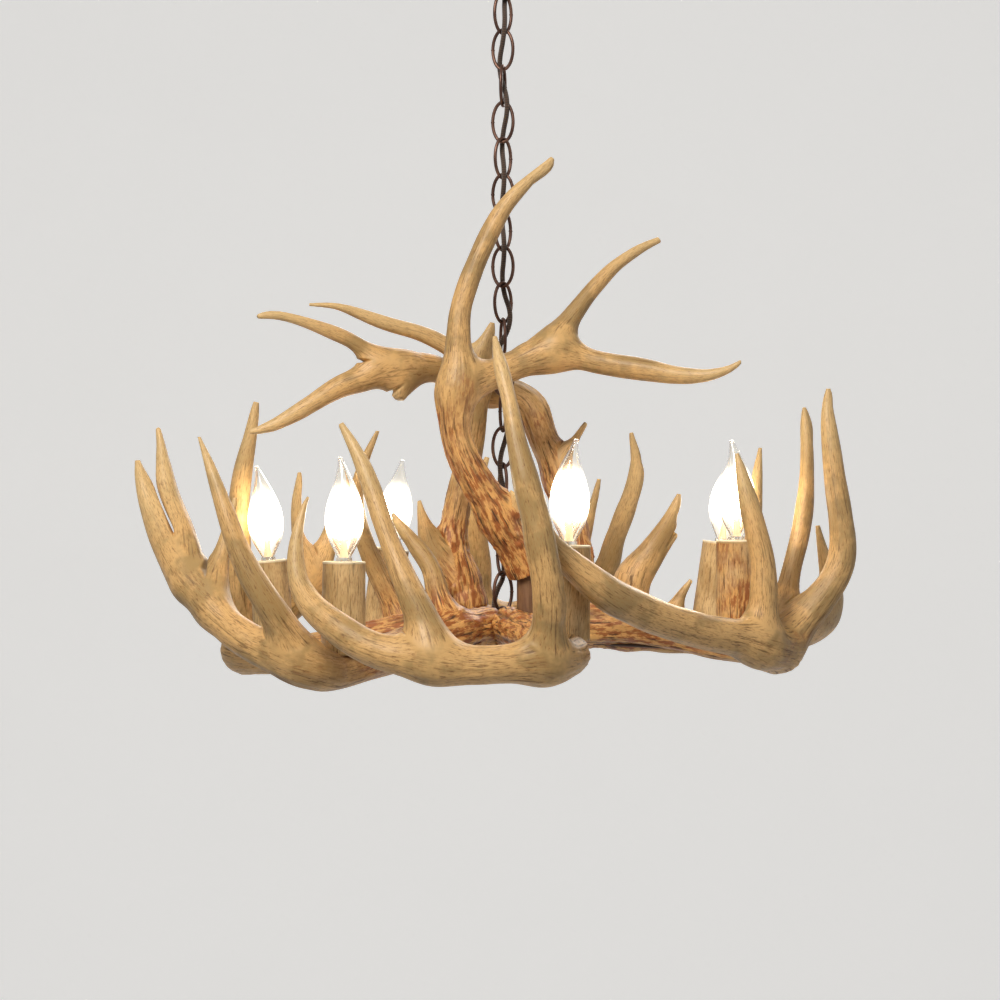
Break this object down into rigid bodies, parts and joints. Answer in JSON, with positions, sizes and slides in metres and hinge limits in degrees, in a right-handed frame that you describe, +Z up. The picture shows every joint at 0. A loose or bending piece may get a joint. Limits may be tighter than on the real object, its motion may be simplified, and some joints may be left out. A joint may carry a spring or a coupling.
{
  "type": "antler chandelier",
  "caption": "Hanging light whose curved branching antlers sweep round a hub and carry upright candle sleeves with flame bulbs, hung on a link chain from a round ceiling canopy.",
  "frame": {"origin": "centre of the ceiling strap's screw pattern, on the ceiling plane", "axes": "+Z up to the ceiling, +X along the ceiling strap, the picture's view looks along +Y"},
  "size_m": [0.6182, 0.6036, 0.6839],
  "materials": {
    "bronze": "dark bronze, satin",
    "cord": "dark brown braided cover",
    "hardwood": "beech stained dark brown",
    "antler": "antler bone: cream to tan, grooved and streaked brown, satin",
    "candle_sleeve": "tan composite cast with an antler grain, pale rim",
    "lampholder": "matt black",
    "bulb_cap": "bright",
    "bulb_glass": "clear",
    "filament": "lit wire, glows warm white"
  },
  "bodies": {
    "ceiling_mount": {"ceiling_strap": "bronze", "canopy_stem": "bronze", "strap_locknut": "bronze", "canopy": "bronze", "canopy_loop": "bronze", "lamp_cord_top": "cord"},
    "top_link": {"top_link": "bronze"},
    "light_body": {"antler_posts": "hardwood", "candle_cables": "cord", "candle_nipples": "bronze", "candle_sleeve_1": "candle_sleeve", "candle_sleeve_2": "candle_sleeve", "candle_sleeve_3": "candle_sleeve", "candle_sleeve_4": "candle_sleeve", "candle_sleeve_5": "candle_sleeve", "candle_sleeve_6": "candle_sleeve", "chain_links": "bronze", "hub_core": "hardwood", "hub_dowels": "hardwood", "hub_eye": "bronze", "hub_nut": "bronze", "hub_plate": "bronze", "lamp_cord": "cord", "lampholder_1": "lampholder", "lampholder_2": "lampholder", "lampholder_3": "lampholder", "lampholder_4": "lampholder", "lampholder_5": "lampholder", "lampholder_6": "lampholder", "lower_antler_1": "antler", "lower_antler_2": "antler", "lower_antler_3": "antler", "lower_antler_4": "antler", "lower_antler_5": "antler", "lower_antler_6": "antler", "upper_antler_1": "antler", "upper_antler_2": "antler", "upper_antler_3": "antler"},
    "bulb_cap_1": {"bulb_cap_1": "bulb_cap"},
    "bulb_1": {"bulb_glass_1": "bulb_glass", "bulb_filament_1": "filament"},
    "bulb_cap_2": {"bulb_cap_2": "bulb_cap"},
    "bulb_2": {"bulb_glass_2": "bulb_glass", "bulb_filament_2": "filament"},
    "bulb_cap_3": {"bulb_cap_3": "bulb_cap"},
    "bulb_3": {"bulb_glass_3": "bulb_glass", "bulb_filament_3": "filament"},
    "bulb_cap_4": {"bulb_cap_4": "bulb_cap"},
    "bulb_4": {"bulb_glass_4": "bulb_glass", "bulb_filament_4": "filament"},
    "bulb_cap_5": {"bulb_cap_5": "bulb_cap"},
    "bulb_5": {"bulb_glass_5": "bulb_glass", "bulb_filament_5": "filament"},
    "bulb_cap_6": {"bulb_cap_6": "bulb_cap"},
    "bulb_6": {"bulb_glass_6": "bulb_glass", "bulb_filament_6": "filament"}
  },
  "joints": [
    {"name": "sway_at_loop", "type": "hinge", "parent": "ceiling_mount", "child": "top_link", "pos_m": [0, 0, -0.053], "axis": [0.766, 0.6428, 0], "range_deg": [-15, 15], "deforming": ["lamp_cord_top"]},
    {"name": "sway_at_top_link", "type": "hinge", "parent": "top_link", "child": "light_body", "pos_m": [0, 0, -0.0841], "axis": [-0.6428, 0.766, 0], "range_deg": [-15, 15]},
    {"name": "bulb_lift_1", "type": "slide", "parent": "light_body", "child": "bulb_cap_1", "axis": [0.0175, 0, 0.9998], "range_m": [0, 0.01525]},
    {"name": "bulb_turn_1", "type": "hinge", "parent": "bulb_cap_1", "child": "bulb_1", "pos_m": [0.05129, -0.2057, -0.6384], "axis": [0.0175, 0, 0.9998], "range_deg": [0, 2160]},
    {"name": "bulb_lift_2", "type": "slide", "parent": "light_body", "child": "bulb_cap_2", "axis": [0.0087, 0, 1], "range_m": [0, 0.01525]},
    {"name": "bulb_turn_2", "type": "hinge", "parent": "bulb_cap_2", "child": "bulb_2", "pos_m": [-0.13052, -0.16706, -0.6524], "axis": [0.0087, 0, 1], "range_deg": [0, 2160]},
    {"name": "bulb_lift_3", "type": "slide", "parent": "light_body", "child": "bulb_cap_3", "axis": [-0.0698, 0, 0.9976], "range_m": [0, 0.01525]},
    {"name": "bulb_turn_3", "type": "hinge", "parent": "bulb_cap_3", "child": "bulb_3", "pos_m": [-0.2057, 0.05129, -0.6564], "axis": [-0.0698, 0, 0.9976], "range_deg": [0, 2160]},
    {"name": "bulb_lift_4", "type": "slide", "parent": "light_body", "child": "bulb_cap_4", "axis": [0.1219, 0, 0.9925], "range_m": [0, 0.01525]},
    {"name": "bulb_turn_4", "type": "hinge", "parent": "bulb_cap_4", "child": "bulb_4", "pos_m": [-0.11546, 0.1778, -0.6479], "axis": [0.1219, 0, 0.9925], "range_deg": [0, 2160]},
    {"name": "bulb_lift_5", "type": "slide", "parent": "light_body", "child": "bulb_cap_5", "axis": [0.1305, 0, 0.9914], "range_m": [0, 0.01525]},
    {"name": "bulb_turn_5", "type": "hinge", "parent": "bulb_cap_5", "child": "bulb_5", "pos_m": [0.19054, 0.09294, -0.6404], "axis": [0.1305, 0, 0.9914], "range_deg": [0, 2160]},
    {"name": "bulb_lift_6", "type": "slide", "parent": "light_body", "child": "bulb_cap_6", "axis": [0, 0, 1], "range_m": [0, 0.01525]},
    {"name": "bulb_turn_6", "type": "hinge", "parent": "bulb_cap_6", "child": "bulb_6", "pos_m": [0.19922, -0.07251, -0.6364], "axis": [0, 0, 1], "range_deg": [0, 2160]}
  ],
  "couplings": [
    {"joint": "bulb_lift_1", "follows": "bulb_turn_1", "m_per_rad": 0.00040425},
    {"joint": "bulb_lift_2", "follows": "bulb_turn_2", "m_per_rad": 0.00040425},
    {"joint": "bulb_lift_3", "follows": "bulb_turn_3", "m_per_rad": 0.00040425},
    {"joint": "bulb_lift_4", "follows": "bulb_turn_4", "m_per_rad": 0.00040425},
    {"joint": "bulb_lift_5", "follows": "bulb_turn_5", "m_per_rad": 0.00040425},
    {"joint": "bulb_lift_6", "follows": "bulb_turn_6", "m_per_rad": 0.00040425}
  ]
}
